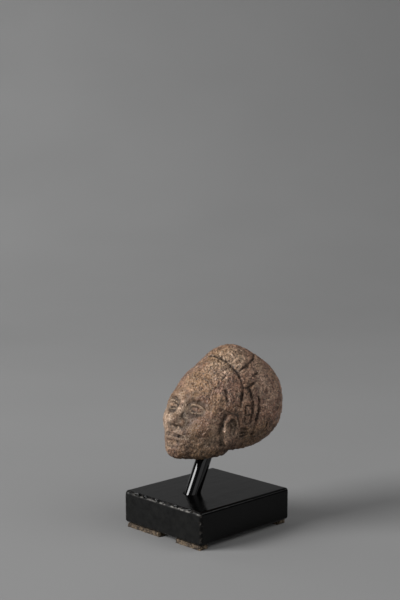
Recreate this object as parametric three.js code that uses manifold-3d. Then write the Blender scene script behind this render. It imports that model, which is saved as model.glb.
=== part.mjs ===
// A carved steatite head on a rod and a black plinth.
// x runs across the face, y from the face to the back of the head, z up. Millimetres throughout.
// Each piece is built about the middle of the plinth, and the whole is then moved over the origin.

import * as THREE from "three";
import { mergeVertices } from "three/addons/utils/BufferGeometryUtils.js";
import Module from "manifold-3d";

// The plinth, a block of wood on four strips of cork
const PAD_THICKNESS = 2.7;
const SEAT_GAP = 0.3;
const BLOCK = { width: 72, depth: 82, height: 21.5, corner: 2, topEdge: 2.4, foot: 0.6 };
const BLOCK_BASE = PAD_THICKNESS + SEAT_GAP;
const BLOCK_TOP = BLOCK_BASE + BLOCK.height;
const SMALLEST_CORNER = 0.2;
const CORNER_STEPS = 4;
const PAD_CORNER_STEPS = 2;

// Each strip: the x where it starts and ends, the y of its middle and how deep it is
const PAD_CORNER = 1;
const PADS = {
  pad_front_left: { from: -33.7, to: -2.9, y: -36.7, depth: 7.6 },
  pad_front_right: { from: 11.9, to: 34.6, y: -36.6, depth: 7.4 },
  pad_back_left: { from: -33.5, to: -5.0, y: 36.2, depth: 7.6 },
  pad_back_right: { from: 8.0, to: 33.5, y: 36.3, depth: 7.4 },
};

// Chips along the plinth's front upper edge: where along x, and how long, how deep and how high each is.
// Their middles lie a little inside the corner of the block, by these shares of its edge radius.
const CHIP_HEIGHT = 1.1;
const CHIP_INWARD = 0.35;
const CHIP_DOWN = 0.3;
const CHIPS = [
  { x: -23, length: 7, bite: 1.1 },
  { x: -15.5, length: 4, bite: 0.9 },
  { x: -5, length: 6, bite: 1.0 },
  { x: 13, length: 4.5, bite: 0.9 },
  { x: 26, length: 5, bite: 0.9 },
];

// The rod, leaning back from its foot in the plinth to its end in the neck
const ROD_RADIUS = 5;
const ROD_SIDES = 32;
const ROD_LEAN = 26;
const ROD_FOOT_Y = -13.3;
const ROD_IN_PLINTH = 13;
const ROD_SHOWN = 24.5;
const ROD_IN_NECK = 14;

// The head as one stone. Radii run across, from front to back, and up.
const CRANIUM = { centre: [0, 21, 80.5], radii: [32.5, 38.5, 32.5], tilt: 12 };
const OCCIPUT = { centre: [0, 32.5, 73.2], radii: [26.5, 23.5, 22], blend: 6 };
const CREST = { centre: [0, 19.2, 103.3], radii: [10.5, 15, 14.2], tilt: -4, blend: 13 };
const NECK = { from: [0, 4, 66], to: [0, 1.8, 50], radii: [13.5, 12.6], blend: 1.5, end: 46.9, edge: 6 };

// The face has a frame of its own, from the point between the eyes: x across, y out of the face, z up
// the face. Its forms are drawn a little large there and brought down by the scale.
const FACE_ORIGIN = [0, -19.6, 83.2];
const FACE_LOOKS_UP = 22;
const FACE_SCALE = 0.885;
const FACE_BLEND = { low: 9, high: 14, from: 60, to: 75 };
const FACE_REACH = 60;
const LID_STEPS = 10;
const LID_SWING = 0.7;
const EYE = { centre: [11.8, -4.4, -0.6], radii: [6.6, 6.2, 5.0] };
const UPPER_LID = { middle: [11.6, 1.9, -1.0], half: 6.6, rise: 3.3, bow: 3.2, thin: 0.65, thick: 1.1 };
const LOWER_LID = { middle: [11.6, 1.5, -1.0], half: 6.4, rise: -3.0, bow: 3.2, thin: 0.55, thick: 0.85 };

// Strokes cut with a V graver: how wide it cuts at the surface, how deep, how far apart the places are at
// which it is laid on the stone, and how far it stands out of the stone
const LINE = { width: 2.5, depth: 1.3 };
const FINE_LINE = { width: 2.0, depth: 1.1 };
const BROAD_LINE = { width: 3.2, depth: 0.9 };
const STROKE_STEP = 4;
const GRAVER_CLEAR = 0.8;
const STROKE_RISE = 0.25;

// How fine the facets are: the most there may be, how far they may stray from the stone, in ever smaller
// tolerances, and how long their edges may be on the ears, on the features, on the face and elsewhere
const HEAD_FACETS = 6450;
const TOLERANCES = [1, 0.4, 0.25, 0.16, 0.11, 0.08, 0.06];
const EDGE = { ear: 1.5, feature: 1.5, face: 4.5, cap: 7 };
const EAR_ZONE = { middle: [27.8, -5.9, 69.5], reach: 11 };
const FEATURE_ZONE = { middle: [0, 2, -9], reach: 19 };
const FACE_BACK = 0;
const SHORTEST_EDGE = 0.7;

// The ball of facets that is drawn in onto the stone, from this far out about this middle
const BALL_DETAIL = 6;
const HEAD_MIDDLE = [0, 14.5, 81];
const CAST = { from: 78, rounds: 60, step: 0.8 };

// How points are brought onto the stone, slid along it, and edges turned to lie better
const SETTLE = { rounds: 4, step: 0.9, probe: 0.05 };
const RISE_ROUNDS = 16;
const EASING = { rounds: 4, share: 0.35 };
const TURN = { flatness: 0.12, gain: 0.95, mostFold: 0.35 };
const TINY = 1e-9;

const degrees = THREE.MathUtils.degToRad;
const length = (x, y, z) => Math.sqrt(x * x + y * y + z * z);
const lerp = THREE.MathUtils.lerp;
const clamp = THREE.MathUtils.clamp;

// Distances to forms. Below zero is inside the stone.

function smoothMin(a, b, k) {
  const h = Math.max(k - Math.abs(a - b), 0) / k;
  return Math.min(a, b) - (h * h * k) / 4;
}

function smoothMax(a, b, k) {
  return -smoothMin(-a, -b, k);
}

// A point turned about x, so that what was level now rises towards +y
function tiltBack(y, z, angle) {
  const c = Math.cos(degrees(angle));
  const s = Math.sin(degrees(angle));
  return [c * y + s * z, c * z - s * y];
}

// A rounded lump, an ellipsoid tilted about x
function lump(centre, radii, tilt = 0) {
  const [rx, ry, rz] = radii;
  const distance = (x, y, z) => {
    const qx = x - centre[0];
    const [qy, qz] = tiltBack(y - centre[1], z - centre[2], tilt);
    const near = length(qx / rx, qy / ry, qz / rz);
    const steepness = length(qx / rx ** 2, qy / ry ** 2, qz / rz ** 2) + TINY;
    return (near * (near - 1)) / steepness;
  };
  return { distance, centre, reach: Math.max(...radii) };
}

// A rounded bar through the points, with a radius at each
function bar(points, radii) {
  const parts = points.slice(1).map((end, i) => {
    const start = points[i];
    const along = end.map((v, k) => v - start[k]);
    const square = along.reduce((s, v) => s + v * v, 0);
    return { start, along, square, radius: radii[i], growth: radii[i + 1] - radii[i] };
  });
  const distance = (x, y, z) => {
    let best = Infinity;
    for (const { start, along, square, radius, growth } of parts) {
      const px = x - start[0];
      const py = y - start[1];
      const pz = z - start[2];
      const t = clamp((px * along[0] + py * along[1] + pz * along[2]) / square, 0, 1);
      const away = length(px - t * along[0], py - t * along[1], pz - t * along[2]);
      best = Math.min(best, away - radius - t * growth);
    }
    return best;
  };
  const centre = [0, 1, 2].map((k) => points.reduce((s, p) => s + p[k], 0) / points.length);
  const reach = Math.max(...points.map((p, i) => length(...p.map((v, k) => v - centre[k])) + radii[i]));
  return { distance, centre, reach };
}

// An eyelid: half an ellipse across the eye, bowed back with the eyeball at its corners
function lid({ middle, half, rise, bow, thin, thick }) {
  const steps = Array.from({ length: LID_STEPS + 1 }, (_, i) => (Math.PI * i) / LID_STEPS);
  const points = steps.map((a) => {
    const across = -Math.cos(a);
    const back = bow * across ** 2 + LID_SWING * across;
    return [middle[0] + half * across, middle[1] - back, middle[2] + rise * Math.sin(a)];
  });
  return bar(points, steps.map((a) => lerp(thin, thick, Math.sin(a))));
}

const add = (shape, blend) => ({ shape, blend, cuts: false });
const cut = (shape, blend) => ({ shape, blend, cuts: true });

// Adds or cuts each form in turn, passing over those too far away to count
function work(d, forms, x, y, z) {
  for (const { shape, blend, cuts } of forms) {
    const [cx, cy, cz] = shape.centre;
    const near = length(x - cx, y - cy, z - cz) - shape.reach;
    if (cuts && near < blend - d) {
      d = smoothMax(d, -shape.distance(x, y, z), blend);
    } else if (!cuts && near < d + blend) {
      d = smoothMin(d, shape.distance(x, y, z), blend);
    }
  }
  return d;
}

const craniumForms = [
  add(lump(CRANIUM.centre, CRANIUM.radii, CRANIUM.tilt), 1),
  add(lump(OCCIPUT.centre, OCCIPUT.radii), OCCIPUT.blend),
  add(lump(CREST.centre, CREST.radii, CREST.tilt), CREST.blend),
];

const neckForms = [add(bar([NECK.from, NECK.to], NECK.radii), NECK.blend)];

// The face, in its own frame: the masses first, then the features in the order of working
const faceMasses = Object.values({
  forehead: add(lump([0, -24, 4], [24, 24, 24]), 1),
  jaw: add(lump([0, -14, -17], [19.5, 16, 17]), 12),
  cheek: add(lump([14, -8.5, -11], [10, 9, 9]), 8),
  jawline: add(bar([[0, -6.5, -31.5], [15, -15, -27], [22, -29, -14]], [6, 6.5, 6]), 10),
  chin: add(lump([0, -3.5, -30.5], [8.5, 7, 6.5]), 6),
  muzzle: add(lump([0, -5, -21], [13, 9.5, 9]), 7),
});

const BROW = {
  points: [[3, -0.3, 5.4], [8, 0.9, 7.6], [13, -0.5, 8.2], [17.5, -4.4, 7], [20.5, -8.5, 4.5]],
  radii: [2.1, 2.2, 2.1, 1.8, 1.6],
};

const eyeForms = Object.values({
  socket: cut(lump([11.4, 3.8, 0.4], [7.4, 4.8, 5.4]), 5),
  brow: add(bar(BROW.points, BROW.radii), 5),
  temple: add(lump([19.5, -10, -1], [6, 6, 7]), 5),
  eyeball: add(lump(EYE.centre, EYE.radii), 1.2),
  upperLid: add(lid(UPPER_LID), 0.8),
  lowerLid: add(lid(LOWER_LID), 0.8),
});

const noseForms = Object.values({
  bridge: add(bar([[0, 0, 5], [0, 3.2, -5], [0, 6.6, -11]], [2.4, 2.8, 3.6]), 3.5),
  tip: add(lump([0, 7.2, -12.3], [4.6, 4, 3.7]), 2),
  wing: add(lump([5.2, 3.4, -12.8], [3, 3.8, 2.9]), 2.4),
  nostril: cut(lump([2.9, 6.4, -16.6], [1.6, 2.4, 1.5]), 0.8),
  philtrum: cut(bar([[0, 6.9, -17], [0, 6.9, -19]], [1, 1.3]), 1.2),
});

const UPPER_LIP = {
  points: [[0, 4.4, -20.7], [2.6, 4.6, -20], [6.4, 2.8, -20.9], [10.2, -1, -22.2]],
  radii: [1.6, 1.9, 1.6, 0.8],
};

const mouthForms = Object.values({
  upperLip: add(bar(UPPER_LIP.points, UPPER_LIP.radii), 1),
  lowerLip: add(bar([[0, 4, -24.6], [4.8, 3.2, -24.3], [9.4, -0.6, -22.8]], [2.3, 2, 0.9]), 1.2),
  parting: cut(bar([[0, 6.7, -22.3], [5, 5.2, -22.3], [10.6, 0.6, -22.4]], [0.8, 0.8, 0.7]), 0.7),
  underLip: cut(lump([0, 6.4, -28.4], [7, 3.4, 1.8]), 3),
});

const faceForms = [...eyeForms, ...noseForms, ...mouthForms];

// The right ear, leaning back with its lobe forward
const EAR_LEAN = -15;
const EAR_RIM = {
  points: [
    [25.8, -9.5, 70.8], [26.8, -9.3, 75.3], [28.0, -6.9, 78.5], [28.8, -3.6, 77.3],
    [28.8, -2.1, 72.3], [27.8, -3.3, 65.8], [25.0, -6.5, 60.8],
  ],
  radii: [1.2, 1.4, 1.6, 1.7, 1.7, 1.7, 2.1],
};
const EAR_FOLD = {
  points: [[27.2, -5.7, 74.7], [28.1, -4.3, 71.9], [27.4, -4.7, 67.3], [26.4, -7.1, 64.3]],
  radii: [0.8, 0.9, 0.9, 0.8],
};

const earForms = Object.values({
  body: add(lump([25.6, -6.1, 68.3], [3.2, 4.3, 8.8], EAR_LEAN), 2.5),
  rim: add(bar(EAR_RIM.points, EAR_RIM.radii), 1.2),
  hollow: cut(lump([29.2, -6.1, 70.9], [2, 2.4, 5], EAR_LEAN), 1.2),
  tragus: add(bar([[26.3, -9.9, 70.3], [26.0, -9.9, 67.3]], [1.5, 1.6]), 1.2),
  fold: add(bar(EAR_FOLD.points, EAR_FOLD.radii), 1),
  pit: cut(lump([24.8, -12.4, 64.8], [2.6, 2, 3.6]), 2),
});

const cross = (a, b) => [a[1] * b[2] - a[2] * b[1], a[2] * b[0] - a[0] * b[2], a[0] * b[1] - a[1] * b[0]];
const dot = (a, b) => a[0] * b[0] + a[1] * b[1] + a[2] * b[2];
const unit = (a) => a.map((v) => v / length(...a));
const minus = (a, b) => a.map((v, k) => v - b[k]);
const mix = (a, b, t) => a.map((v, k) => lerp(v, b[k], t));

// The strokes on the right half of the cap
const bandFront = [
  [29.1, 2.5, 83.1], [28.6, 2.6, 85.9], [27.6, 4.6, 91], [26.7, 6.9, 94.5],
  [23.1, 8.2, 100.3], [19.2, 8.6, 104.3], [12.2, 7.7, 109.7],
];
const behindBand = [
  [30.9, 17, 89.7], [32.2, 15.5, 79.8], [30.9, 14.2, 71.8], [28.9, 14.4, 66.2], [25.7, 14.5, 60.9],
];
const crownLine = [[19.3, 9.5, 104.6], [18.3, 19.3, 108], [14.8, 28.4, 110.4], [9, 35.5, 112.8]];
const capStrokes = Object.values({
  bandFront: { points: bandFront, ...LINE },
  bandOverTheTop: { points: [[12.6, 7.9, 109.4], [6, 6.2, 111.4], [0, 5.6, 112.2]], ...FINE_LINE },
  bandBack: { points: [[27.6, 11.5, 95.2], [30.7, 11, 86.8], [31.4, 10.4, 78.3], [30.1, 9.7, 71]], ...LINE },
  behindBand: { points: behindBand, ...FINE_LINE },
  crown: { points: crownLine, ...FINE_LINE },
  acrossBand: { points: [[27, 7.5, 94.4], [27.3, 12.8, 96.3], [27, 20.5, 98.8]], ...FINE_LINE },
  aboveIt: { points: [[24.7, 16.4, 101.1], [23.5, 24.7, 103.1]], ...FINE_LINE },
  hairline: { points: [[20.6, -4, 96.5], [22.7, -5.1, 91.7], [24.8, -5.8, 85.6]], ...BROAD_LINE },
  lowAtTheBack: { points: [[30.2, 26, 69.3], [26.1, 24.2, 61.2]], ...FINE_LINE },
});

// The inner line of the ladder behind the ear, its rungs, and the bent strokes below the ear
const ladderLine = { points: [[29.8, 5.6, 84.7], [30.1, 5, 78.3], [29.5, 4.6, 72.6]], ...FINE_LINE };
const RUNGS = { count: 3, fall: 6.2, points: [[29.9, 5.2, 84.1], [31.3, 10.8, 83.8]] };
const bentStroke = [[28, 2.2, 69.2], [28.6, 5.5, 67.9], [28.9, 10.2, 67.6]];
const BENT_STROKES = { count: 3, fall: 2.7, points: bentStroke };

function repeated({ count, fall, points }) {
  const lowered = (i) => points.map(([x, y, z]) => [x, y, z - i * fall]);
  return Array.from({ length: count }, (_, i) => ({ points: lowered(i), ...FINE_LINE }));
}

const strokes = [...capStrokes, ladderLine, ...repeated(RUNGS), ...repeated(BENT_STROKES)];

// A point of the head in the face's own frame
function inFace(x, y, z) {
  const [back, up] = tiltBack(y - FACE_ORIGIN[1], z - FACE_ORIGIN[2], -FACE_LOOKS_UP);
  return [x / FACE_SCALE, -back / FACE_SCALE, up / FACE_SCALE];
}

// The carved head. Both sides are alike, so the left is folded onto the right.
function stone(x, y, z) {
  const side = Math.abs(x);
  let d = work(Infinity, craniumForms, side, y, z);
  const [fx, fy, fz] = inFace(side, y, z);
  const high = clamp((z - FACE_BLEND.from) / (FACE_BLEND.to - FACE_BLEND.from), 0, 1);
  const face = work(Infinity, faceMasses, fx, fy, fz) * FACE_SCALE;
  d = smoothMin(d, face, lerp(FACE_BLEND.low, FACE_BLEND.high, high));
  d = work(d, neckForms, side, y, z);
  d = smoothMax(d, NECK.end - z, NECK.edge);
  if (length(fx, fy, fz) < FACE_REACH) {
    d = work(d / FACE_SCALE, faceForms, fx, fy, fz) * FACE_SCALE;
  }
  d = work(d, earForms, side, y, z);
  return d;
}

// Facets on the stone

// The way out of the stone at a place
function slope([x, y, z]) {
  const { probe } = SETTLE;
  const g = [
    stone(x + probe, y, z) - stone(x - probe, y, z),
    stone(x, y + probe, z) - stone(x, y - probe, z),
    stone(x, y, z + probe) - stone(x, y, z - probe),
  ];
  const n = length(...g) + TINY;
  return g.map((v) => v / n);
}

// Slides a point that is near the surface onto it
function settle(p) {
  for (let i = 0; i < SETTLE.rounds; i += 1) {
    const d = stone(...p);
    const n = slope(p);
    p = p.map((v, k) => v - SETTLE.step * d * n[k]);
  }
  return p;
}

// Brings the middle of a chord onto the stone. Where the chord runs through the stone, as across the nose,
// it first rises along the facets' own direction, or it would slide down to a side.
function surface(chord, out) {
  let p = chord;
  for (let i = 0; i < RISE_ROUNDS; i += 1) {
    const d = Math.min(stone(...p), 0);
    p = p.map((v, k) => v - d * out[k]);
  }
  return settle(p);
}

// Walks in from outside along a direction until it meets the stone
function cast(direction) {
  let reach = CAST.from;
  for (let i = 0; i < CAST.rounds; i += 1) {
    reach -= CAST.step * stone(...HEAD_MIDDLE.map((c, k) => c + direction[k] * reach));
  }
  return settle(HEAD_MIDDLE.map((c, k) => c + direction[k] * reach));
}

const distanceBetween = (a, b) => length(a[0] - b[0], a[1] - b[1], a[2] - b[2]);

// The longest edge allowed about a point: short on the ears and on the features
function edgeLimit([x, y, z]) {
  const side = Math.abs(x);
  if (distanceBetween([side, y, z], EAR_ZONE.middle) < EAR_ZONE.reach) {
    return EDGE.ear;
  }
  if (distanceBetween(inFace(side, y, z), FEATURE_ZONE.middle) < FEATURE_ZONE.reach) {
    return EDGE.feature;
  }
  return y < FACE_BACK ? EDGE.face : EDGE.cap;
}

const edgeName = (a, b) => (a < b ? a * 1e6 + b : b * 1e6 + a);
const faceNormal = (points, [a, b, c]) => cross(minus(points[b], points[a]), minus(points[c], points[a]));

// The two facets on each edge, by the edge's name
function edgeOwners(faces) {
  const owners = new Map();
  faces.forEach((face, f) => {
    for (let k = 0; k < 3; k += 1) {
      const name = edgeName(face[k], face[(k + 1) % 3]);
      owners.set(name, [...(owners.get(name) ?? []), f]);
    }
  });
  return owners;
}

// One pass: every facet that strays from the stone, or is too big, is halved across its longest edge,
// together with its neighbour there, the longest edges first
function splitPass(points, faces, middles, tolerance) {
  const owners = edgeOwners(faces);
  const wanted = [];
  for (const face of faces) {
    let longest = null;
    let stray = 0;
    for (let k = 0; k < 3; k += 1) {
      const a = face[k];
      const b = face[(k + 1) % 3];
      const key = edgeName(a, b);
      if (!middles.has(key)) {
        const chord = mix(points[a], points[b], 0.5);
        middles.set(key, { stray: Math.abs(stone(...chord)), limit: edgeLimit(chord) });
      }
      const size = distanceBetween(points[a], points[b]);
      const { limit } = middles.get(key);
      stray = Math.max(stray, middles.get(key).stray);
      if (!longest || size > longest.size) {
        longest = { key, a, b, size, limit };
      }
    }
    if (longest.size > longest.limit || (stray > tolerance && longest.size > SHORTEST_EDGE)) {
      wanted.push(longest);
    }
  }
  wanted.sort((p, q) => q.size - p.size);
  const done = new Set();
  let splits = 0;
  for (const { key, a, b } of wanted) {
    const pair = owners.get(key);
    if (faces.length >= HEAD_FACETS || pair.some((f) => done.has(f))) {
      continue;
    }
    const normals = pair.map((f) => faceNormal(points, faces[f]));
    const middle = points.push(surface(mix(points[a], points[b], 0.5), unit(mix(...normals, 0.5)))) - 1;
    for (const f of pair) {
      const face = faces[f];
      faces[f] = face.map((v) => (v === b ? middle : v));
      faces.push(face.map((v) => (v === a ? middle : v)));
      done.add(f);
    }
    splits += 1;
  }
  return splits;
}

// Turns the edge between two facets where the other diagonal lies closer to the stone or is shorter
function flipPass(points, faces) {
  const owners = edgeOwners(faces);
  const cost = (a, b) => {
    const chord = mix(points[a], points[b], 0.5);
    return Math.abs(stone(...chord)) + TURN.flatness * distanceBetween(points[a], points[b]);
  };
  const touched = new Set();
  for (const [f, g] of [...owners.values()]) {
    if (touched.has(f) || touched.has(g)) {
      continue;
    }
    const c = faces[f].find((v) => !faces[g].includes(v));
    const d = faces[g].find((v) => !faces[f].includes(v));
    const turn = faces[f].indexOf(c);
    const [a, b] = [faces[f][(turn + 1) % 3], faces[f][(turn + 2) % 3]];
    const pair = [[c, a, d], [c, d, b]];
    const old = unit(faceNormal(points, faces[f]).map((v, k) => v + faceNormal(points, faces[g])[k]));
    const normals = pair.map((face) => faceNormal(points, face));
    const sound = normals.every((n) => dot(n, old) > TURN.mostFold * length(...n));
    if (sound && !owners.has(edgeName(c, d)) && cost(c, d) < TURN.gain * cost(a, b)) {
      [faces[f], faces[g]] = pair;
      touched.add(f).add(g);
      owners.set(edgeName(c, d), [f, g]);
    }
  }
}

// Slides every point a little along the stone, towards the middle of its neighbours
function ease(points, faces) {
  const neighbours = points.map(() => new Set());
  for (const [a, b, c] of faces) {
    neighbours[a].add(b).add(c);
    neighbours[b].add(c).add(a);
    neighbours[c].add(a).add(b);
  }
  const eased = points.map((p, i) => {
    const around = [...neighbours[i]];
    const middle = p.map((_, k) => around.reduce((s, n) => s + points[n][k], 0) / around.length);
    const move = minus(middle, p);
    const out = slope(p);
    const lift = dot(move, out);
    return settle(p.map((v, k) => v + EASING.share * (move[k] - lift * out[k])));
  });
  eased.forEach((p, i) => {
    points[i] = p;
  });
}

// A ball of facets cast onto the stone, then made finer wherever they stray from it
function headSurface() {
  const ball = bare(new THREE.IcosahedronGeometry(1, BALL_DETAIL));
  const corners = ball.getAttribute("position");
  const points = Array.from({ length: corners.count }, (_, i) => {
    return cast([corners.getX(i), corners.getY(i), corners.getZ(i)]);
  });
  const index = ball.getIndex().array;
  const faces = Array.from({ length: index.length / 3 }, (_, i) => [...index.slice(3 * i, 3 * i + 3)]);
  for (let round = 0; round < EASING.rounds; round += 1) {
    ease(points, faces);
  }
  const middles = new Map();
  for (const tolerance of TOLERANCES) {
    let splits = 1;
    while (splits > 0) {
      splits = splitPass(points, faces, middles, tolerance);
    }
  }
  for (let round = 0; round < EASING.rounds; round += 1) {
    flipPass(points, faces);
    ease(points, faces);
  }
  flipPass(points, faces);
  return solidFrom(points, faces);
}

// Geometry helpers

// A geometry with its shared corners merged, holding positions only
function bare(geometry) {
  geometry.deleteAttribute("normal");
  geometry.deleteAttribute("uv");
  return mergeVertices(geometry);
}

// A geometry from corners and facets
function solidFrom(points, faces) {
  const geometry = new THREE.BufferGeometry();
  geometry.setAttribute("position", new THREE.Float32BufferAttribute(points.flat(), 3));
  geometry.setIndex(faces.flat());
  return geometry;
}

// Stacked outlines joined into one closed body. Every outline has the same number of points.
function stack(outlines) {
  const count = outlines[0].length;
  const points = outlines.flat();
  const faces = [];
  for (let level = 0; level + 1 < outlines.length; level += 1) {
    for (let i = 0; i < count; i += 1) {
      const [a, b] = [level * count + i, level * count + ((i + 1) % count)];
      faces.push([a, b, b + count], [a, b + count, a + count]);
    }
  }
  const top = (outlines.length - 1) * count;
  for (let i = 1; i + 1 < count; i += 1) {
    faces.push([0, i + 1, i], [top, top + i, top + i + 1]);
  }
  return solidFrom(points, faces);
}

// A rectangle with round corners at one height, drawn in by inset on every side
function roundedOutline({ x, y, width, depth, corner, steps }, inset, z) {
  const radius = Math.max(corner - inset, SMALLEST_CORNER);
  const quarter = (cx, cy, start) => Array.from({ length: steps + 1 }, (_, i) => {
    const a = degrees(start + (90 * i) / steps);
    return [x + cx + radius * Math.cos(a), y + cy + radius * Math.sin(a), z];
  });
  const w = width / 2 - inset - radius;
  const h = depth / 2 - inset - radius;
  return [...quarter(w, h, 0), ...quarter(-w, h, 90), ...quarter(-w, -h, 180), ...quarter(w, -h, 270)];
}

// Between geometries and the bodies that are cut from one another
const wasm = await Module();
wasm.setup();

function toManifold(geometry) {
  const corners = new Float32Array(geometry.getAttribute("position").array);
  const facets = new Uint32Array(geometry.getIndex().array);
  return new wasm.Manifold(new wasm.Mesh({ numProp: 3, vertProperties: corners, triVerts: facets }));
}

function toGeometry(manifold) {
  const mesh = manifold.getMesh();
  const geometry = new THREE.BufferGeometry();
  geometry.setAttribute("position", new THREE.BufferAttribute(new Float32Array(mesh.vertProperties), 3));
  geometry.setIndex(new THREE.BufferAttribute(new Uint32Array(mesh.triVerts), 1));
  return geometry;
}

// A round bar along the rod's own axis, its ends measured up from where the rod leaves the plinth
const lean = degrees(ROD_LEAN);
function alongRod(radius, from, to, sides) {
  const geometry = new THREE.CylinderGeometry(radius, radius, to - from, sides);
  geometry.translate(0, (from + to) / 2, 0);
  geometry.rotateX(Math.PI / 2 - lean);
  geometry.translate(0, ROD_FOOT_Y, BLOCK_TOP);
  return bare(geometry);
}

// Pieces

const ROD_END = ROD_SHOWN + ROD_IN_NECK;

function rod() {
  return alongRod(ROD_RADIUS, -ROD_IN_PLINTH, ROD_END, ROD_SIDES);
}

// What is drilled out for the rod, a little wider than it
function rodHole(from, to) {
  return toManifold(alongRod(ROD_RADIUS + SEAT_GAP, from, to, ROD_SIDES));
}

// The wedge that a graver takes out along a line of places on the stone, rising at both ends
function gravedWedge({ points, width, depth }) {
  const stops = points.slice(1).flatMap((end, i) => {
    const steps = Math.max(1, Math.round(distanceBetween(points[i], end) / STROKE_STEP));
    return Array.from({ length: steps }, (_, k) => mix(points[i], end, k / steps));
  });
  const path = [...stops, points.at(-1)].map(settle);
  return stack(path.map((p, i) => {
    const out = slope(p);
    const along = minus(path[Math.min(i + 1, path.length - 1)], path[Math.max(i - 1, 0)]);
    const across = unit(cross(out, along));
    const deep = i === 0 || i === path.length - 1 ? STROKE_RISE * depth : depth;
    const half = (width / 2) * (1 + GRAVER_CLEAR / depth);
    const at = (high, side) => p.map((v, k) => v + high * out[k] + side * across[k]);
    return [at(-deep, 0), at(GRAVER_CLEAR, half), at(GRAVER_CLEAR, -half)];
  }));
}

const mirrored = (points) => points.map(([x, y, z]) => [-x, y, z]);

// The carved head: the facets, less every stroke on both sides, less the socket for the rod
function head() {
  let solid = toManifold(headSurface());
  for (const line of strokes) {
    solid = solid.subtract(toManifold(gravedWedge(line)));
    solid = solid.subtract(toManifold(gravedWedge({ ...line, points: mirrored(line.points) })));
  }
  const socket = rodHole(ROD_SHOWN - ROD_IN_NECK, ROD_END + SEAT_GAP);
  return toGeometry(solid.subtract(socket));
}

// A bruise out of the plinth's front upper edge
function chip({ x, length: long, bite }) {
  const geometry = new THREE.IcosahedronGeometry(1, 1);
  geometry.scale(long / 2, bite, CHIP_HEIGHT);
  const y = -BLOCK.depth / 2 + CHIP_INWARD * BLOCK.topEdge;
  geometry.translate(x, y, BLOCK_TOP - CHIP_DOWN * BLOCK.topEdge);
  return toManifold(bare(geometry));
}

// The block, rounded at its corners and its upper edge, with the rod's hole and the bruises
function plinth() {
  const { width, depth, corner, topEdge, foot } = BLOCK;
  const plan = { x: 0, y: 0, width, depth, corner, steps: CORNER_STEPS };
  const edge = Array.from({ length: CORNER_STEPS + 1 }, (_, i) => {
    const a = degrees((90 * i) / CORNER_STEPS);
    return roundedOutline(plan, topEdge * (1 - Math.cos(a)), BLOCK_TOP - topEdge * (1 - Math.sin(a)));
  });
  const sides = [roundedOutline(plan, foot, BLOCK_BASE), roundedOutline(plan, 0, BLOCK_BASE + foot)];
  let solid = toManifold(stack([...sides, ...edge]));
  solid = solid.subtract(rodHole(-ROD_IN_PLINTH - SEAT_GAP, ROD_IN_PLINTH));
  for (const place of CHIPS) {
    solid = solid.subtract(chip(place));
  }
  return toGeometry(solid);
}

// A strip of cork
function pad({ from, to, y, depth }) {
  const middle = (from + to) / 2;
  const plan = { x: middle, y, width: to - from, depth, corner: PAD_CORNER, steps: PAD_CORNER_STEPS };
  return stack([roundedOutline(plan, 0, 0), roundedOutline(plan, 0, PAD_THICKNESS)]);
}

// Finishes
const steatite = new THREE.MeshStandardMaterial({ color: 0x8c7660, roughness: 0.62, metalness: 0 });
const blackLacquer = new THREE.MeshStandardMaterial({ color: 0x121110, roughness: 0.38, metalness: 0 });
const blackEnamel = new THREE.MeshStandardMaterial({ color: 0x0b0b0d, roughness: 0.18, metalness: 0.4 });
const cork = new THREE.MeshStandardMaterial({ color: 0x967d64, roughness: 0.9, metalness: 0 });

const part = new THREE.Group();
function place(name, geometry, material) {
  const mesh = new THREE.Mesh(geometry, material);
  mesh.name = name;
  part.add(mesh);
}

place("head", head(), steatite);
place("mounting_rod", rod(), blackEnamel);
place("plinth", plinth(), blackLacquer);
for (const [name, size] of Object.entries(PADS)) {
  place(name, pad(size), cork);
}

// The head overhangs the plinth, so the middle of the whole lies behind the middle of the plinth
const middle = new THREE.Box3().setFromObject(part).getCenter(new THREE.Vector3());
part.position.set(-middle.x, -middle.y, 0);

export default part;
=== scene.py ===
"""The looks of a carved steatite head on its rod, black plinth and cork strips.

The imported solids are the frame. Each piece here stands for one of them and keeps its form and place, with the
finer relief, the wear and the finishes that the solids leave out.

Sizes in the classes are millimetres, about the middle of the plinth's footprint: x across the face, y from the
face to the back of the head, z up. Workshop puts a finished mesh in metres in the frame of the solids.
"""

import logging
import math
from collections.abc import Callable, Sequence
from dataclasses import dataclass, field
from enum import Enum

import bmesh
import bpy
import numpy as np
from mathutils import Matrix, Vector, noise

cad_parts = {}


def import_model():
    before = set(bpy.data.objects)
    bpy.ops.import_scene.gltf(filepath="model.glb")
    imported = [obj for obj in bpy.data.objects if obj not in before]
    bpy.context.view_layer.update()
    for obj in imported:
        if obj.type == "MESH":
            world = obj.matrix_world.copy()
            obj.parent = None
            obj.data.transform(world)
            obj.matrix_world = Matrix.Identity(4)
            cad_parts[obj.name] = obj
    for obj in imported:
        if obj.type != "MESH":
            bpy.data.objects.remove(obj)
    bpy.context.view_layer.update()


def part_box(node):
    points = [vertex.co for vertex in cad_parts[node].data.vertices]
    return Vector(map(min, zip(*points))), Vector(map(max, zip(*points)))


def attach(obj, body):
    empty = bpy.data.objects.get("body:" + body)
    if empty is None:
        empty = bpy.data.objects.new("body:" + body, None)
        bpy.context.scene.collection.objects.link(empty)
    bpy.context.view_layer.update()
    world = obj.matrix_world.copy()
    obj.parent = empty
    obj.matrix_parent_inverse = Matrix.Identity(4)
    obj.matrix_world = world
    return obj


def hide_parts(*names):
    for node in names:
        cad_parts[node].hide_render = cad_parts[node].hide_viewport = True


LOG = logging.getLogger("steatite_head")

MM = 0.001
TINY = 1e-9

Point = tuple[float, float, float]
Array = np.ndarray


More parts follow.
